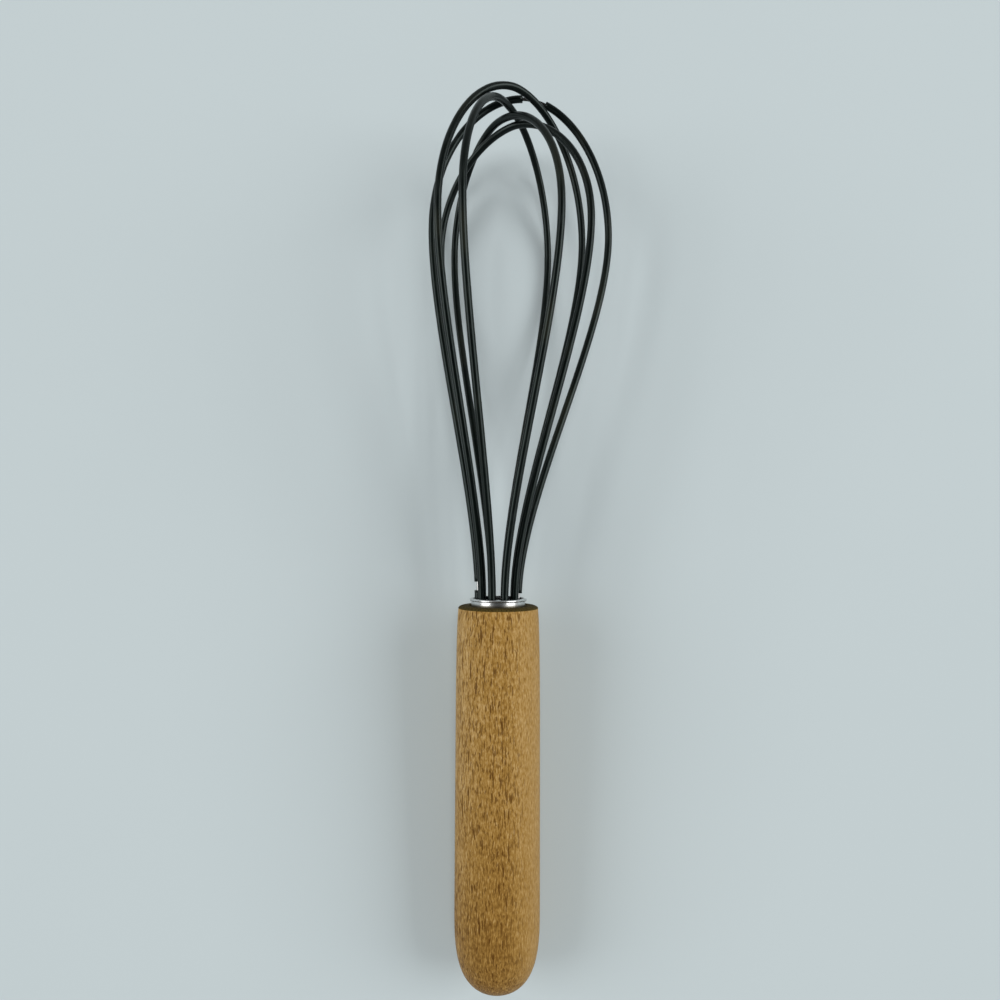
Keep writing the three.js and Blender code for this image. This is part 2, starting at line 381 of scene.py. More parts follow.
@dataclass(frozen=True)
class BeechFinish:
    """Oiled beech: growth bands, short dashes and flecks along the grain, painted light on both flanks,
    and an end darkened by its end grain and by painted shade.

    Places are in millimetres in the whisk's own frame. Tones run from 0 for deep to 1 for pale.
    """

    rim_drop: float
    deep: Colour = paint(0.175, 0.083, 0.015)
    warm: Colour = paint(0.335, 0.186, 0.044)
    pale: Colour = paint(0.51, 0.33, 0.134)
    fleck: Colour = paint(0.078, 0.026, 0.002)
    oil: Colour = paint(1.0, 0.74, 0.35)
    # end grain colours, made darker as painted shade for an end face turned away from the light
    shaded_end_pale: Colour = paint(0.075, 0.053, 0.014)
    end_dark: Colour = paint(0.03, 0.021, 0.006)
    shaded_end_wrap: Range = (-0.36, -0.22)
    tones: Triple = (0.1, 0.5, 0.9)
    middle_tone: float = 0.565
    right_flank: Range = (1.0, 10.5)
    # painted light: how much the right flank's tone is lifted
    right_lift: float = 0.045
    left_flank: Range = (3.0, 11.0)
    # painted light: how much the left flank's tone is lifted
    left_lift: float = 0.08
    dark_stripe_start: Range = (-9.0, -5.0)
    dark_stripe_end: Range = (-1.0, 5.0)
    dark_stripe_drop: float = 0.06
    butt: Range = (35.0, 100.0)
    butt_drop: float = 0.24
    butt_fade: float = 0.7
    pith: Triple = (-70.0, 0.0, -60.0)
    band_rate: float = 0.32
    band_wander: float = 5.0
    band_contrast: float = 0.14
    wanders: Grain = Grain((0.05, 0.016, 0.05), 1.0)
    mottles: Grain = Grain((0.9, 0.25, 0.9), 3.0, 0.6)
    mottle_contrast: float = 0.15
    fibres: Grain = Grain((2.9, 0.2, 2.9), 2.0, 0.6)
    fibre_contrast: float = 0.75
    left_contrast: float = 0.45
    right_calm: float = 0.5
    streaks: Grain = Grain((1.1, 0.1, 1.1), 1.0)
    streak_contrast: float = 0.65
    speckles: Grain = Grain((2.6, 0.75, 2.6), 2.0, 0.6)
    speckle_contrast: float = 1.55
    crowds: Grain = Grain((0.14, 0.05, 0.14), 1.0)
    crowding: float = 0.15
    fine_flecks: Grain = Grain((2.2, 0.5, 2.2), 1.0, edge=(0.605, 0.655))
    fine_strength: float = 0.68
    long_flecks: Grain = Grain((2.0, 0.21, 2.0), 1.0, edge=(0.63, 0.665))
    long_strength: float = 0.9
    fleck_cover: float = 0.92
    fleck_fade: float = 0.75
    spot: Triple = (2.8, -2.6, 11.3)
    spot_edge: Range = (0.3, 0.9)
    spot_cover: float = 0.95
    pores: Grain = Grain((2.0, 0.2, 2.0), 3.0, 0.6, (0.35, 0.65))
    roughness: float = 0.5
    relief: float = 0.05 * MM

    def build(self, placement: Placement) -> bpy.types.Material:
        """Makes the material.

        Args:
            placement: Where the whisk lies, for the direction of the grain.

        Returns:
            The material.
        """
        surface = Surface("oiled_beech")
        point = placement.millimetres(surface)
        across, along, _ = surface.split(point)
        right = across.between(*self.right_flank)
        left = (0.0 - across).between(*self.left_flank)
        # a darker stripe along the handle, just left of its middle
        dark_stripe = across.between(*self.dark_stripe_start) * (1.0 - across.between(*self.dark_stripe_end))
        low = (0.0 - along).between(*self.butt)
        fibre = self.fibres.read(point)
        speckle = self.speckles.read(point)
        streak = self.streaks.read(point)
        fleck = self._flecks(point) * (1.0 - right * self.fleck_fade)
        calm = right * self.right_calm
        fibre_lines = fibre.swing(self.fibre_contrast + left * self.left_contrast - calm)
        lines = fibre_lines + streak.swing(left) * self.streak_contrast
        grain = lines + speckle.swing(self.speckle_contrast - calm)
        # painted light: both flanks of the handle are lightened, the right one more, as the side lamps
        # would light them
        edges = right * self.right_lift + left * (1.0 - low) * self.left_lift
        dark_butt = low * (1.0 - right * self.butt_fade) * self.butt_drop
        shade = edges - dark_stripe * self.dark_stripe_drop - dark_butt
        tone = self._bands(surface, point) + shade + grain
        stops = list(zip(self.tones, (self.deep, self.warm, self.pale)))
        wood = surface.node("ShaderNodeValToRGB", {"stops": stops}, {"Fac": tone})
        spot = 1.0 - surface.distance(point, self.spot).between(*self.spot_edge)
        stain = surface.mix(spot * self.spot_cover, wood, self.deep)
        side = surface.mix(fleck * self.fleck_cover, stain, self.fleck)
        # painted shade: the end face and its rounded rim take the dark end colour, which is end grain and
        # painted shade together
        end = along.between(*(edge - self.rim_drop for edge in self.shaded_end_wrap))
        end_grain_and_shade = surface.mix(self.pores.patches(point), self.end_dark, self.shaded_end_pale)
        return surface.shade(
            Base_Color=surface.mix(end, side, end_grain_and_shade),
            Roughness=self.roughness + fleck * 0.2 + fibre.swing(0.3) + end * 0.4,
            Specular_IOR_Level=0.25,
            Specular_Tint=self.oil,
            Normal=surface.bump(fibre * 0.5 - fleck, self.relief, 0.6),
        )

    def _bands(self, surface: Surface, point: Value) -> Value:
        """Lays growth bands around the pith, which lies outside the handle.

        Args:
            surface: The surface.
            point: Its points, in millimetres.

        Returns:
            The wood's tone, a little mottled.
        """
        flat = surface.stretch(point, (1.0, 0.0, 1.0))
        wander = self.wanders.read(point) * self.band_wander
        band = surface.line_noise((surface.distance(flat, self.pith) + wander) * self.band_rate)
        mottle = self.mottles.read(point)
        return self.middle_tone + band.swing(self.band_contrast) + mottle.swing(self.mottle_contrast)

    def _flecks(self, point: Value) -> Value:
        """Scatters fine and long dark flecks, in loose crowds.

        Args:
            point: A surface's points, in millimetres.

        Returns:
            How dark a fleck is at each point, from 0 to 1.
        """
        crowd = self.crowds.read(point).swing(self.crowding)
        fine = (self.fine_flecks.read(point) + crowd).between(*self.fine_flecks.edge)
        long = (self.long_flecks.read(point) + crowd).between(*self.long_flecks.edge)
        return (fine * self.fine_strength).peak(long * self.long_strength)


@dataclass(frozen=True)
class PolishedSteelFinish:
    """Polished plate with faint turning lines, a few dull smears and painted shade at its foot."""

    plate: Colour = paint(0.66, 0.665, 0.66)
    smear: Colour = paint(0.5, 0.5, 0.48)
    # painted shade: the dark colour of the ferrule's foot, for the shaded end face that it mirrors and
    # the contact shadow
    painted_foot_shade: Colour = paint(0.1, 0.085, 0.05)
    turning: Grain = Grain((0.25, 14.0, 0.25))
    smears: Grain = Grain((0.7, 0.7, 0.7), 3.0, 0.6, (0.52, 0.75))
    smear_cover: float = 0.6
    painted_foot_shade_edge: Range = (0.1, 0.9)
    painted_foot_shade_fringe: float = 0.3
    painted_foot_shade_cover: float = 0.9
    roughness: float = 0.2
    relief: float = 0.01 * MM

    def build(self, placement: Placement) -> bpy.types.Material:
        """Makes the material.

        Args:
            placement: Where the whisk lies, for the direction of the turning lines.

        Returns:
            The material.
        """
        surface = Surface("polished_plate")
        point = placement.millimetres(surface)
        _, along, _ = surface.split(point)
        lines = self.turning.read(point)
        smear = self.smears.patches(point)
        # painted shade: darkens the foot of the ferrule where it meets the wood, standing in for a
        # mirrored end face and a contact shadow
        painted_foot_shade = 1.0 - (along + smear * self.painted_foot_shade_fringe).between(*self.painted_foot_shade_edge)
        plate = surface.mix(smear * self.smear_cover, self.plate, self.smear)
        return surface.shade(
            Base_Color=surface.mix(painted_foot_shade * self.painted_foot_shade_cover, plate, self.painted_foot_shade),
            Metallic=1.0,
            Roughness=self.roughness + lines * 0.1 + smear * 0.14 + painted_foot_shade * 0.15,
            Normal=surface.bump(lines, self.relief, 0.3),
        )


@dataclass(frozen=True)
class SpringSteelFinish:
    """Drawn wire with lines along its length, bright at its feet and with a painted dark reflection at
    its crown.
    """

    bright: Colour = paint(0.42, 0.42, 0.41)
    dull: Colour = paint(0.18, 0.175, 0.165)
    # painted reflection: the dark colour of the bare wire at the crown, for the dark things above that it
    # mirrors
    crown_dark_reflection: Colour = paint(0.03, 0.029, 0.027)
    drawing: Grain = Grain((3.0, 3.0, 0.08), 3.0, 0.6)
    stains: Grain = Grain((0.6, 0.6, 0.5), 3.0, edge=(0.5, 0.8))
    crown_dark_reflection_start: Range = (60.0, 140.0)
    crown_dark_reflection_end: Range = (240.0, 320.0)
    crown_dark_reflection_cover: float = 0.9
    roughness: float = 0.2
    relief: float = 0.01 * MM

    def build(self) -> bpy.types.Material:
        """Makes the material.

        Returns:
            The material.
        """
        surface = Surface("drawn_wire")
        point = surface.sweep()
        _, _, along = surface.split(point)
        lines = self.drawing.read(point)
        stain = self.stains.patches(point)
        # painted reflection: darkens the wire along its crown, standing in for the dark things above that
        # it mirrors
        crown_dark_reflection = along.between(*self.crown_dark_reflection_start) * (1.0 - along.between(*self.crown_dark_reflection_end))
        wire = surface.mix(stain, self.bright, self.dull)
        return surface.shade(
            Base_Color=surface.mix(crown_dark_reflection * self.crown_dark_reflection_cover, wire, self.crown_dark_reflection),
            Metallic=1.0,
            Roughness=self.roughness + lines * 0.14 + stain * 0.15 + crown_dark_reflection * 0.15,
            Normal=surface.bump(lines, self.relief, 0.4),
        )


@dataclass(frozen=True)
class SleeveFinish:
    """Satin black sleeve with faint drawing lines, dusty scuffs and a brownish bloom."""

    black: Colour = paint(0.0008, 0.002, 0.0017)
    scuff: Colour = paint(0.016, 0.02, 0.0185)
    bloom: Colour = paint(0.014, 0.0148, 0.0095)
    sheen: Colour = paint(0.82, 1.0, 0.95)
    drawing: Grain = Grain((2.4, 2.4, 0.03), 3.0, 0.6)
    scuffs: Grain = Grain((1.5, 1.5, 0.16), 4.0, 0.65, (0.54, 0.72))
    scuff_cover: float = 0.6
    blooms: Grain = Grain((0.045, 0.045, 0.045), edge=(0.5, 0.68))
    bloom_cover: float = 0.7
    roughness: float = 0.29
    relief: float = 0.03 * MM

    def build(self) -> bpy.types.Material:
        """Makes the material.

        Returns:
            The material.
        """
        surface = Surface("satin_sleeve")
        point = surface.sweep()
        lines = self.drawing.read(point)
        worn = self.scuffs.patches(point)
        bloom = self.blooms.patches(surface.millimetres())
        dusty = surface.mix(bloom * self.bloom_cover, self.black, self.bloom)
        return surface.shade(
            Base_Color=surface.mix(worn * self.scuff_cover, dusty, self.scuff),
            Roughness=self.roughness + lines.swing(0.26) + worn * 0.14,
            Specular_IOR_Level=0.24,
            Specular_Tint=self.sheen,
            Normal=surface.bump(lines, self.relief, 0.5),
        )


@dataclass(frozen=True)
class ResinFinish:
    """Cast black resin, a little cloudy on top."""

    black: Colour = paint(0.008, 0.008, 0.008)
    cloud: Colour = paint(0.03, 0.03, 0.028)
    clouds: Grain = Grain((0.8, 0.8, 0.8), 3.0)
    roughness: float = 0.3
    relief: float = 0.1 * MM

    def build(self) -> bpy.types.Material:
        """Makes the material.

        Returns:
            The material.
        """
        surface = Surface("cast_resin")
        cloud = self.clouds.read(surface.millimetres())
        return surface.shade(
            Base_Color=surface.mix(cloud, self.black, self.cloud),
            Roughness=self.roughness + cloud * 0.25,
            Normal=surface.bump(cloud, self.relief, 0.3),
        )


@dataclass(frozen=True)
class FloorFinish:
    """Matt pale floor with faint clouds, some for each metre."""

    pale: Colour = paint(0.54, 0.605, 0.62)
    shade: Colour = paint(0.52, 0.585, 0.60)
    clouds: Grain = Grain((9.0, 9.0, 9.0))

    def build(self) -> bpy.types.Material:
        """Makes the material.

        Returns:
            The material.
        """
        surface = Surface("pale_floor")
        cloud = self.clouds.read(surface.place())
        return surface.shade(
            Base_Color=surface.mix(cloud, self.pale, self.shade),
            Roughness=0.85,
            Specular_IOR_Level=0.1,
        )


@dataclass(frozen=True)
class Sweep:
    """The sizes of one swept piece. Each field is an input of the sweep's tree."""

    start: float
    end: float
    radius: float
    pitch: float
    sides: int
    finish: bpy.types.Material
    hollow: bool = False
    wall: float = 0.0
    unevenness: float = 0.0
    seed: float = 0.0


class SweepTree(Graph):
    """Geometry nodes that sweep a round section along part of a route."""

    ALONG = "along"
    TURN = "turn"
    SWELLS_PER_METRE = 160.0
    MERGE_DISTANCE = 0.002 * MM

    def __init__(self) -> None:
        """Builds the tree, with a named input for each of its sizes."""
        super().__init__(bpy.data.node_groups.new("swept_round", "GeometryNodeTree"))
        self.keys: dict[str, str] = {}
        self._declare("Route", "NodeSocketGeometry")
        for name in ("Start", "End", "Radius", "Wall", "Pitch", "Unevenness", "Seed"):
            self._declare(name, "NodeSocketFloat")
        self._declare("Sides", "NodeSocketInt")
        self._declare("Hollow", "NodeSocketBool")
        self._declare("Finish", "NodeSocketMaterial")
        self.tree.interface.new_socket("Piece", in_out="OUTPUT", socket_type="NodeSocketGeometry")
        given = self.node("NodeGroupInput")
        rod = self._skin(given, True)
        tube = self._thicken(self._skin(given, False), given)
        inputs = {"Switch": given.other("Hollow"), "False": rod, "True": tube}
        shape = self.node("GeometryNodeSwitch", {"input_type": "GEOMETRY"}, inputs)
        smooth = self.node("GeometryNodeSetShadeSmooth", {}, {"Geometry": shape})
        real = self.node("GeometryNodeRealizeInstances", {}, {"Geometry": smooth})
        inputs = {"Geometry": real, "Material": given.other("Finish")}
        dressed = self.node("GeometryNodeSetMaterial", {}, inputs)
        self.node("NodeGroupOutput", {}, {"Piece": dressed})

    def _declare(self, name: str, kind: str) -> None:
        """Adds an input to the tree and keeps its identifier."""
        socket = self.tree.interface.new_socket(name, in_out="INPUT", socket_type=kind)
        self.keys[name] = socket.identifier

    def _store(self, shape: Value, name: str, kind: str, value: Value) -> Value:
        """Returns a shape with a value kept on its points under a name."""
        inputs = {"Geometry": shape, "Name": name, "Value": value}
        return self.node("GeometryNodeStoreNamedAttribute", {"data_type": kind}, inputs)

    def _stored(self, name: str, kind: str) -> Value:
        """Returns the value that is kept under a name."""
        return self.node("GeometryNodeInputNamedAttribute", {"data_type": kind}, {"Name": name})

    def _skin(self, given: Value, capped: bool) -> Value:
        """Sweeps the section along the route.

        Args:
            given: The tree's inputs.
            capped: Whether the ends are closed.

        Returns:
            The skin, with the way round and the way along kept on its points.
        """
        trim = {
            "Curve": given.other("Route"),
            "Start_001": given.other("Start"),
            "End_001": given.other("End"),
        }
        part = self.node("GeometryNodeTrimCurve", {"mode": "LENGTH"}, trim)
        even = {"Curve": part, "Length": given.other("Pitch")}
        line = self.node("GeometryNodeResampleCurve", {"mode": "LENGTH"}, even)
        along = self.node("GeometryNodeSplineParameter").other("Length")
        line = self._store(line, self.ALONG, "FLOAT", along)
        circle = {"Resolution": given.other("Sides"), "Radius": given.other("Radius")}
        section = self.node("GeometryNodeCurvePrimitiveCircle", {"mode": "RADIUS"}, circle)
        turn = self.node("GeometryNodeInputPosition")
        section = self._store(section, self.TURN, "FLOAT_VECTOR", turn)
        sweep = {"Curve": line, "Profile Curve": section, "Fill Caps": capped}
        skin = self.node("GeometryNodeCurveToMesh", {}, sweep)
        return self._roughen(self._mark(skin), given)

    def _mark(self, skin: Value) -> Value:
        """Keeps the way round and the way along as one vector, for the finish.

        Args:
            skin: The swept skin.

        Returns:
            The skin, with the vector on its points, in millimetres.
        """
        along = self._stored(self.ALONG, "FLOAT")
        right, up, _ = self.split(self._stored(self.TURN, "FLOAT_VECTOR"))
        vector = self.node("ShaderNodeCombineXYZ", {}, {"X": right, "Y": up, "Z": along})
        return self._store(skin, SWEEP_ATTRIBUTE, "FLOAT_VECTOR", self.stretch(vector, PER_MM))

    def _roughen(self, skin: Value, given: Value) -> Value:
        """Lets the section swell and thin a little along the route, as drawn sleeves do.

        Args:
            skin: The swept skin.
            given: The tree's inputs.

        Returns:
            The uneven skin.
        """
        way = self._stored(self.ALONG, "FLOAT") * self.SWELLS_PER_METRE + given.other("Seed")
        shift = self.line_noise(way).swing(given.other("Unevenness"))
        normal = self.node("GeometryNodeInputNormal")
        offset = self.node("ShaderNodeVectorMath", {"operation": "SCALE"}, {0: normal, "Scale": shift})
        return self.node("GeometryNodeSetPosition", {}, {"Geometry": skin, "Offset": offset})

    def _thicken(self, skin: Value, given: Value) -> Value:
        """Gives an open skin its inner wall and its square ends.

        Args:
            skin: The swept skin.
            given: The tree's inputs.

        Returns:
            The closed tube.
        """
        wall = {"Mesh": skin, "Offset Scale": 0.0 - given.other("Wall"), "Individual": False}
        inner = self.node("GeometryNodeExtrudeMesh", {"mode": "FACES"}, wall)
        turned = self.node("GeometryNodeFlipFaces", {}, {"Mesh": inner})
        both = self.node("GeometryNodeJoinGeometry")
        for half in (skin, turned):
            self.tree.links.new(half.socket, both.socket.node.inputs[0])
        inputs = {"Geometry": both, "Distance": self.MERGE_DISTANCE}
        return self.node("GeometryNodeMergeByDistance", {}, inputs)

    def apply(self, name: str, route: bpy.types.Curve, sizes: Sweep) -> bpy.types.Object:
        """Sweeps a piece and makes it a plain mesh.

        Args:
            name: The piece's name.
            route: The curve that it follows.
            sizes: A value for each of the tree's inputs.

        Returns:
            The piece's object.
        """
        guide = show(f"{name}_route", route)
        modifier = guide.modifiers.new("sweep", "NODES")
        modifier.node_group = self.tree
        for field in fields(sizes):
            modifier[self.keys[field.name.title()]] = getattr(sizes, field.name)
        depsgraph = bpy.context.evaluated_depsgraph_get()
        shaped = guide.evaluated_get(depsgraph)
        mesh = bpy.data.meshes.new_from_object(
            shaped, preserve_all_data_layers=True, depsgraph=depsgraph
        )
        mesh.name = name
        bpy.data.objects.remove(guide)
        return show(name, mesh)


class Outline:
    """Half of a turned piece's section: radius and height along its axis."""

    CURVE_STEPS = 24
    MERGE_DISTANCE = 0.001 * MM
    SHARP_ANGLE = math.radians(35.0)

    def __init__(self, radius: float, height: float) -> None:
        """Starts the outline at a point."""
        self.points = [Vector((radius, height, 0.0))]

    def line(self, radius: float, height: float) -> None:
        """Draws a straight line to a point."""
        self.points.append(Vector((radius, height, 0.0)))

    def curve(self, *handles: Range) -> None:
        """Draws a curve.

        Args:
            handles: One or two points that pull the curve, and its end point.
        """
        start = self.points[-1]
        pulls = [Vector((radius, height, 0.0)) for radius, height in handles]
        end = pulls.pop()
        if len(pulls) == 1:
            pulls = [corner.lerp(pulls[0], 2.0 / 3.0) for corner in (start, end)]
        self.points += interpolate_bezier(start, *pulls, end, self.CURVE_STEPS)[1:]

    def turn(self, name: str, sides: int, matrix: Matrix) -> bpy.types.Object:
        """Turns the outline about its axis.

        Args:
            name: The piece's name.
            sides: How many faces go round.
            matrix: The place of the axis.

        Returns:
            The piece's object, closed and smooth, with its sharp edges kept.
        """
        shape = bmesh.new()
        turns = [2.0 * math.pi * side / sides for side in range(sides)]
        rings = [self._ring(shape, point, turns) for point in self.points]
        for lower, upper in zip(rings, rings[1:]):
            for side in range(sides):
                after = (side + 1) % sides
                shape.faces.new((lower[side], lower[after], upper[after], upper[side]))
        bmesh.ops.remove_doubles(shape, verts=shape.verts, dist=self.MERGE_DISTANCE)
        bmesh.ops.recalc_face_normals(shape, faces=shape.faces)
        for face in shape.faces:
            face.smooth = True
        shape.transform(matrix)
        mesh = bpy.data.meshes.new(name)
        shape.to_mesh(mesh)
        shape.free()
        mesh.set_sharp_from_angle(angle=self.SHARP_ANGLE)
        return show(name, mesh)

    @staticmethod
    def _ring(shape: bmesh.types.BMesh, point: Vector, turns: list[float]) -> list[bmesh.types.BMVert]:
        """Returns a new ring of corners, one at each turn about the axis."""
        places = [(point.x * math.cos(turn), point.y, -point.x * math.sin(turn)) for turn in turns]
        return [shape.verts.new(place) for place in places]


def settle(piece: bpy.types.Object, slot: Slot, *nodes: str) -> None:
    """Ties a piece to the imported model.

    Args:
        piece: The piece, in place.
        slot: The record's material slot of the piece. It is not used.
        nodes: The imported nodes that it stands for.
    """
    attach(piece, ROOT)
    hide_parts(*nodes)
    log.info("%s stands for %s with %d faces", piece.name, ", ".join(nodes), len(piece.data.polygons))


@dataclass(frozen=True)
class Ferrule:
    """The steel ferrule: a thin tube with a flared lip, sunk in the handle."""

    radius: float = 7.7 * MM
    wall: float = 0.4 * MM
    depth: float = 25.0 * MM
    lip_height: float = 2.1 * MM
    lip_radius: float = 8.2 * MM
    lip_thickness: float = 0.8 * MM
    fit: float = 0.1 * MM
    sides: int = 128

    @property
    def bore_radius(self) -> float:
        """The inside of the tube."""
        return self.radius - self.wall

    def build(self, placement: Placement) -> None:
        """Makes the ferrule.

        Args:
            placement: Where the whisk lies.
        """
        inside = self.bore_radius
        under_lip = self.lip_height - self.lip_thickness
        lip_side = self.lip_height - self.lip_thickness / 2.0
        outline = Outline(inside, -self.depth)
        outline.line(inside, under_lip - self.wall)
        outline.curve((inside, self.lip_height), (self.lip_radius - self.lip_thickness, self.lip_height))
        outline.curve((self.lip_radius, self.lip_height), (self.lip_radius, lip_side))
        outline.curve((self.lip_radius, under_lip), (self.radius, under_lip))
        outline.line(self.radius, -self.depth)
        outline.line(inside, -self.depth)
        piece = outline.turn("flared_ferrule", self.sides, placement.matrix)
        piece.data.materials.append(PolishedSteelFinish().build(placement))
        settle(piece, Slot.POLISHED_STEEL, "ferrule")


@dataclass(frozen=True)
class Handle:
    """The turned handle: a flat end face with a dropped rim, a slight swell and a domed butt."""

    ferrule: Ferrule
    length: float = 106.2 * MM
    radius: float = 12.0 * MM
    end_radius: float = 10.2 * MM
    rim_radius: float = 11.4 * MM
    rim_drop: float = 0.5 * MM
    mouth_depth: float = 0.5 * MM
    shoulder: float = 6.0 * MM
    swell: float = 34.0 * MM
    dome: float = 20.0 * MM
    dome_flank: float = 0.62
    dome_flatness: float = 0.84
    sides: int = 128

    def build(self, placement: Placement) -> None:
        """Makes the handle.

        Args:
            placement: Where the whisk lies.
        """
        bore = self.ferrule.radius + self.ferrule.fit
        floor = -self.ferrule.depth - self.ferrule.fit
        dome_start = self.dome - self.length
        outline = Outline(0.0, floor)
        outline.line(bore, floor)
        outline.line(bore, -self.mouth_depth)
        outline.line(self.ferrule.lip_radius + self.ferrule.fit, 0.0)
        outline.line(self.end_radius, 0.0)
        outline.curve(((self.end_radius + self.rim_radius) / 2.0, 0.0), (self.rim_radius, -self.rim_drop))
        outline.curve((self.radius, -self.shoulder), (self.radius, -self.swell))
        outline.line(self.radius, dome_start)
        outline.curve(
            (self.radius, dome_start - self.dome_flank * self.dome),
            (self.dome_flatness * self.radius, -self.length),
            (0.0, -self.length),
        )
        piece = outline.turn("turned_handle", self.sides, placement.matrix)
        piece.data.materials.append(BeechFinish(rim_drop=self.rim_drop / MM).build(placement))
        settle(piece, Slot.BEECH, "handle")


class Knot(NamedTuple):
    """A point of a route, with the handles before and after it."""

    before: Vector
    at: Vector
    after: Vector

    def turned(self) -> "Knot":
        """Returns the same point on the way back."""
        return Knot(self.after, self.at, self.before)


@dataclass(frozen=True)
class Leg:
    """One leg of a loop: how its belly turns from its root, in degrees, and its share of reach."""

    twist: float
    reach: float


@dataclass(frozen=True)
class Loop:
    """A wire loop: its place on the ring of roots, its crown in shares of the belly, and its legs."""

    name: str
    place: float
    nest: float
    crown_x: float
    crown_z: float
    right: Leg
    left: Leg
    worn: bool = False


@dataclass(frozen=True)
class Span:
    """A stretch of sleeve, from one length along a loop to another."""

    name: str
    start: float
    end: float


@dataclass(frozen=True)
class Balloon:
    """Five sleeved wire loops that stand in the ferrule and cross at their crowns."""

    ferrule: Ferrule
    wire_diameter: float = 1.0 * MM
    wire_depth: float = 22.0 * MM
    wire_pitch: float = 1.5 * MM
    wire_sides: int = 14
    sleeve_diameter: float = 2.2 * MM
    sleeve_fit: float = 0.1 * MM
    sleeve_depth: float = 3.0 * MM
    sleeve_pitch: float = 1.0 * MM
    sleeve_sides: int = 22
    unevenness: float = 0.05 * MM
    seed_step: float = 7.0
    resin_top: float = 0.7 * MM
    root_margin: float = 0.5 * MM
    belly_height: float = 112.5 * MM
    belly_radius: float = 28.0 * MM
    belly_sag: float = 3.0 * MM
    crown_height: float = 154.0 * MM
    crown_gap: float = 0.6 * MM
    root_pull: float = 0.26
    belly_pull_down: float = 0.27
    belly_pull_up: float = 0.59
    crown_pull: float = 0.48
    stub_height: float = 4.3 * MM
    break_height: float = 6.8 * MM
    split_before: float = 0.7 * MM
    split_after: float = 6.7 * MM
    pulled_height: float = 3.5 * MM
    measure_steps: int = 256
    route_steps: int = 64
    loops: tuple[Loop, ...] = (
        Loop("a", -1, -0.15, 0.16, -0.05, Leg(10, 1.04), Leg(-2, 0.79)),
        Loop("b", -2, 1.1, 0.09, -0.18, Leg(15, 1.06), Leg(5, 0.91)),
        Loop("c", 2, 2.0, -0.02, -0.34, Leg(-29, 0.84), Leg(-13, 1.04)),
        Loop("d", 1, 2.8, 0.16, -0.27, Leg(-22, 0.98), Leg(10, 0.98)),
        Loop("e", 0, -0.2, 0.27, -0.27, Leg(-12, 1.23), Leg(5, 0.73), True),
    )

    def _half(self, loop: Loop, leg: Leg, side: Side) -> list[Knot]:
        """Draws one half of a loop in the whisk's own frame.

        Args:
            loop: The loop.
            leg: Its leg on that side.
            side: The side.

        Returns:
            Its foot, root, belly and crown, which has the same handle on both sides.
        """
        root_radius = self.ferrule.bore_radius - self.root_margin - self.sleeve_diameter / 2.0
        root_angle = math.radians(loop.place * 180.0 / len(self.loops) + side.value)
        belly_angle = root_angle + math.radians(leg.twist)
        along = Vector((0.0, 1.0, 0.0))
        root = Vector((math.cos(root_angle), 0.0, math.sin(root_angle))) * root_radius
        root.y = self.ferrule.lip_height
        foot = root - along * (self.wire_depth + root.y)
        outward = Vector((math.cos(belly_angle), 0.0, math.sin(belly_angle)))
        belly = outward * leg.reach * self.belly_radius
        belly += Vector((0.0, self.belly_height, -self.belly_sag))
        crown = Vector((loop.crown_x, 0.0, loop.crown_z)) * self.belly_radius
        crown.y = self.crown_height - loop.nest * (self.sleeve_diameter + self.crown_gap)
        flank = self.belly_height - self.ferrule.lip_height
        shoulder = crown.y - self.belly_height
        level = belly - crown
        level.y = 0.0
        low_handle = belly - along * self.belly_pull_down * flank
        high_handle = belly + along * self.belly_pull_up * shoulder
        crown_handle = crown + level * self.crown_pull
        return [
            Knot(foot, foot, foot.lerp(root, THIRD)),
            Knot(root.lerp(foot, THIRD), root, root + along * self.root_pull * flank),
            Knot(low_handle, belly, high_handle),
            Knot(crown_handle, crown, crown_handle),
        ]

    def _knots(self, loop: Loop) -> list[Knot]:
        """Joins the halves of a loop.

        Args:
            loop: The loop.

        Returns:
            The points of its route, up the left leg and down the right one.
        """
        *left, left_crown = self._half(loop, loop.left, Side.LEFT)
        *right, right_crown = self._half(loop, loop.right, Side.RIGHT)
        crown = Knot(left_crown.before, left_crown.at, right_crown.after)
        return [*left, crown, *(knot.turned() for knot in reversed(right))]

    def _lengths(self, knots: list[Knot]) -> list[float]:
        """Measures a route.

        Args:
            knots: The route's points.

        Returns:
            The length of each stretch between two of them.
        """
        lengths = []
        for start, end in zip(knots, knots[1:]):
            way = interpolate_bezier(start.at, start.after, end.before, end.at, self.measure_steps)
            lengths.append(sum((after - before).length for before, after in zip(way, way[1:])))
        return lengths

    def _spans(self, loop: Loop, lengths: list[float]) -> list[Span]:
        """Works out which stretches of a loop are sleeved.

        Args:
            loop: The loop.
            lengths: The length of each stretch of its route, three on either side of the crown.

        Returns:
            One stretch, or three where the sleeve has worn through.
        """
        total = sum(lengths)
        crown = sum(lengths[:3])
        foot = self.wire_depth + self.resin_top - self.sleeve_depth
        if not loop.worn:
            return [Span(loop.name, foot, total - foot)]
        left_break = self.wire_depth + self.break_height
        right_end = total - self.wire_depth - self.pulled_height
        return [
            Span(f"{loop.name}_stub", foot, self.wire_depth + self.stub_height),
            Span(f"{loop.name}_left", left_break, crown - self.split_before),
            Span(f"{loop.name}_right", crown + self.split_after, right_end),
        ]

    def _route(self, name: str, knots: list[Knot], matrix: Matrix) -> bpy.types.Curve:
        """Makes the curve of a loop's route.

        Args:
            name: The curve's name.
            knots: The route's points.
            matrix: The whisk's place.

        Returns:
            The curve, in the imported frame.
        """
        route = bpy.data.curves.new(name, "CURVE")
        route.dimensions = "3D"
        route.resolution_u = self.route_steps
        spline = route.splines.new("BEZIER")
        spline.bezier_points.add(len(knots) - 1)
        for point, knot in zip(spline.bezier_points, knots):
            point.handle_left_type = "FREE"
            point.handle_right_type = "FREE"
            point.co = matrix @ knot.at
            point.handle_left = matrix @ knot.before
            point.handle_right = matrix @ knot.after
        return route

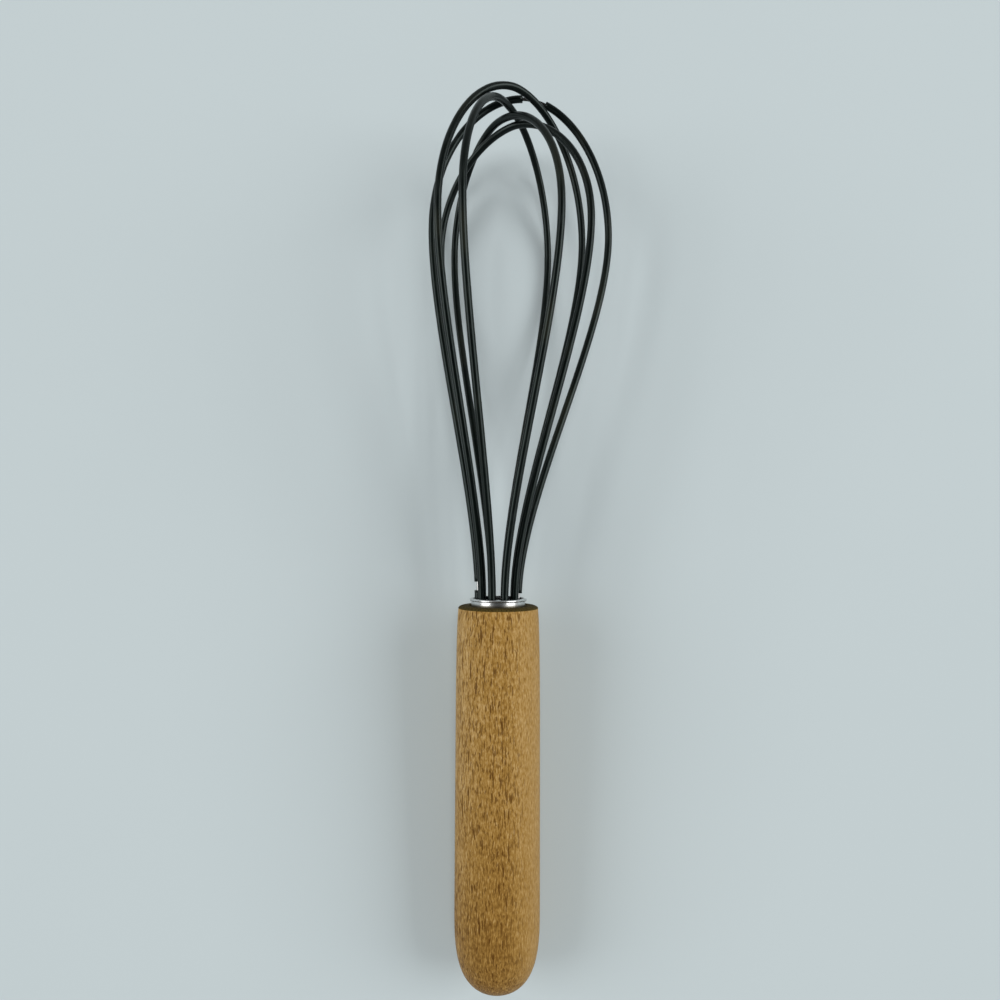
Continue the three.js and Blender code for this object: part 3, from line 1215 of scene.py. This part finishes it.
    def build(self, placement: Placement) -> None:
        """Makes every wire and sleeve.

        Args:
            placement: Where the whisk lies.
        """
        tree = SweepTree()
        steel = SpringSteelFinish().build()
        black = SleeveFinish().build()
        wire_radius = self.wire_diameter / 2.0
        sleeve_radius = self.sleeve_diameter / 2.0
        for number, loop in enumerate(self.loops):
            knots = self._knots(loop)
            lengths = self._lengths(knots)
            route = self._route(f"route_{loop.name}", knots, placement.matrix)
            core = Sweep(0.0, sum(lengths), wire_radius, self.wire_pitch, self.wire_sides, steel)
            wire = tree.apply(f"core_{loop.name}", route, core)
            settle(wire, Slot.SPRING_STEEL, f"wire_{loop.name}")
            for span in self._spans(loop, lengths):
                jacket = Sweep(
                    start=span.start,
                    end=span.end,
                    radius=sleeve_radius,
                    pitch=self.sleeve_pitch,
                    sides=self.sleeve_sides,
                    finish=black,
                    hollow=True,
                    wall=sleeve_radius - (wire_radius + self.sleeve_fit),
                    unevenness=self.unevenness,
                    seed=self.seed_step * number,
                )
                sleeve = tree.apply(f"jacket_{span.name}", route, jacket)
                settle(sleeve, Slot.BLACK_SLEEVE, f"sleeve_{span.name}")


@dataclass(frozen=True)
class ResinPlug:
    """The resin that locks the wires in the ferrule, kept as it is packed."""

    node: str = "resin_plug"

    def build(self) -> None:
        """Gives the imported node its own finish."""
        piece = frame["nodes"][self.node]
        piece.data.materials.clear()
        piece.data.materials.append(ResinFinish().build())
        log.info("%s keeps its packed shape", self.node)


@dataclass(frozen=True)
class Viewpoint:
    """The camera, placed from the centre of the handle's end face, with its angles in degrees."""

    across: float = -0.07 * MM
    along: float = 2.1 * MM
    height: float = 228.5 * MM
    pitch: float = 7.74
    pan: float = 0.13
    roll: float = -0.21
    focal_pixels: float = 720.0
    frame_pixels: float = 1000.0
    sensor: float = 36.0
    near: float = 10.0 * MM

    def build(self, placement: Placement) -> None:
        """Makes the camera and gives it to the scene.

        Args:
            placement: Where the whisk lies.
        """
        pitch, pan, roll = (math.radians(angle) for angle in (self.pitch, self.pan, self.roll))
        ahead = Vector((0.0, math.sin(pitch), -math.cos(pitch)))
        up = Vector((0.0, math.cos(pitch), math.sin(pitch)))
        right = Vector((1.0, 0.0, 0.0))
        ahead, right = (
            ahead * math.cos(pan) + right * math.sin(pan),
            right * math.cos(pan) - ahead * math.sin(pan),
        )
        side = right * math.cos(roll) - up * math.sin(roll)
        top = right * math.sin(roll) + up * math.cos(roll)
        lens = bpy.data.cameras.new("viewpoint")
        lens.sensor_fit = "HORIZONTAL"
        lens.sensor_width = self.sensor
        lens.lens = self.sensor * self.focal_pixels / self.frame_pixels
        lens.clip_start = self.near
        camera = show("viewpoint", lens)
        turn = Matrix((side, top, -ahead)).transposed().to_4x4()
        eye = Vector((placement.origin.x + self.across, placement.origin.y + self.along, self.height))
        camera.matrix_world = Matrix.Translation(eye) @ turn
        bpy.context.scene.camera = camera


def hang(lamp: bpy.types.Light, place: Triple) -> bpy.types.Object:
    """Hangs a lamp.

    Args:
        lamp: The lamp.
        place: Where it hangs, in metres. It is aimed at the origin.

    Returns:
        The lamp's object, which the camera doesn't see.
    """
    hung = show(lamp.name, lamp)
    hung.location = place
    hung.rotation_mode = "QUATERNION"
    hung.rotation_quaternion = Vector(place).to_track_quat("Z", "Y")
    hung.visible_camera = False
    return hung


@dataclass(frozen=True)
class Softbox:
    """A square lamp."""

    name: str
    place: Triple
    size: float
    radiance: float

    def build(self) -> None:
        """Makes the lamp, aimed at the origin."""
        lamp = bpy.data.lights.new(self.name, "AREA")
        lamp.shape = "SQUARE"
        lamp.size = self.size
        lamp.energy = self.radiance * math.pi * self.size**2
        hang(lamp, self.place)


@dataclass(frozen=True)
class Skylight:
    """Even light from above that polished surfaces don't mirror."""

    name: str = "skylight"
    place: Triple = (0.04, 0.12, 1.2)
    irradiance: float = 0.75
    spread: float = 17.0

    def build(self) -> None:
        """Makes the lamp, aimed at the origin."""
        lamp = bpy.data.lights.new(self.name, "SUN")
        lamp.energy = self.irradiance
        lamp.angle = math.radians(self.spread)
        hang(lamp, self.place).visible_glossy = False


@dataclass(frozen=True)
class Studio:
    """A pale floor under a soft sky that is brightest halfway up, with lamps on both sides."""

    floor_size: float = 12.0
    floor_cells: int = 4
    sky: tuple[tuple[float, Colour], ...] = (
        (0.0, paint(0.27, 0.28, 0.28)),
        (0.45, paint(0.41, 0.42, 0.42)),
        (0.72, paint(0.29, 0.30, 0.30)),
        (0.92, paint(0.08, 0.085, 0.085)),
        (1.0, paint(0.06, 0.065, 0.065)),
    )
    lamps: tuple[Softbox | Skylight, ...] = (
        Skylight(),
        Softbox("right_box", (2.5, 0.375, 1.75), 2.0, 4.4),
        Softbox("left_box", (-2.5, 0.25, 1.75), 2.0, 3.6),
    )

    def build(self, level: float) -> None:
        """Makes the floor, the sky and the lamps.

        Args:
            level: The floor's height, under the lowest piece.
        """
        scene = bpy.context.scene
        scene.view_settings.view_transform = "Standard"
        bpy.ops.mesh.primitive_grid_add(
            x_subdivisions=self.floor_cells,
            y_subdivisions=self.floor_cells,
            size=self.floor_size,
            location=(0.0, 0.0, level),
        )
        floor = bpy.context.object
        floor.name = "floor"
        floor.data.materials.append(FloorFinish().build())
        floor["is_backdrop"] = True
        self._sky(scene)
        for lamp in self.lamps:
            lamp.build()
        log.info("floor, sky and %d lamps", len(self.lamps))

    def _sky(self, scene: bpy.types.Scene) -> None:
        """Gives the scene a sky whose colour changes with its height.

        Args:
            scene: The scene.
        """
        world = bpy.data.worlds.new("soft_sky")
        world.use_nodes = True
        sky = Graph(world.node_tree)
        _, _, height = sky.split(sky.node("ShaderNodeTexCoord").other("Generated"))
        colour = sky.node("ShaderNodeValToRGB", {"stops": self.sky}, {"Fac": height})
        glow = sky.node("ShaderNodeBackground", {}, {"Color": colour, "Strength": 1.0})
        sky.node("ShaderNodeOutputWorld", {}, {"Surface": glow})
        scene.world = world


def main() -> None:
    """Builds the scene in order."""
    logging.basicConfig(level=logging.INFO, format="%(name)s: %(message)s")
    placement = Placement.from_frame()
    Viewpoint().build(placement)
    ferrule = Ferrule()
    Handle(ferrule).build(placement)
    ferrule.build(placement)
    ResinPlug().build()
    Balloon(ferrule).build(placement)
    low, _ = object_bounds()
    Studio().build(low[2])


if __name__ == "__main__":
    main()
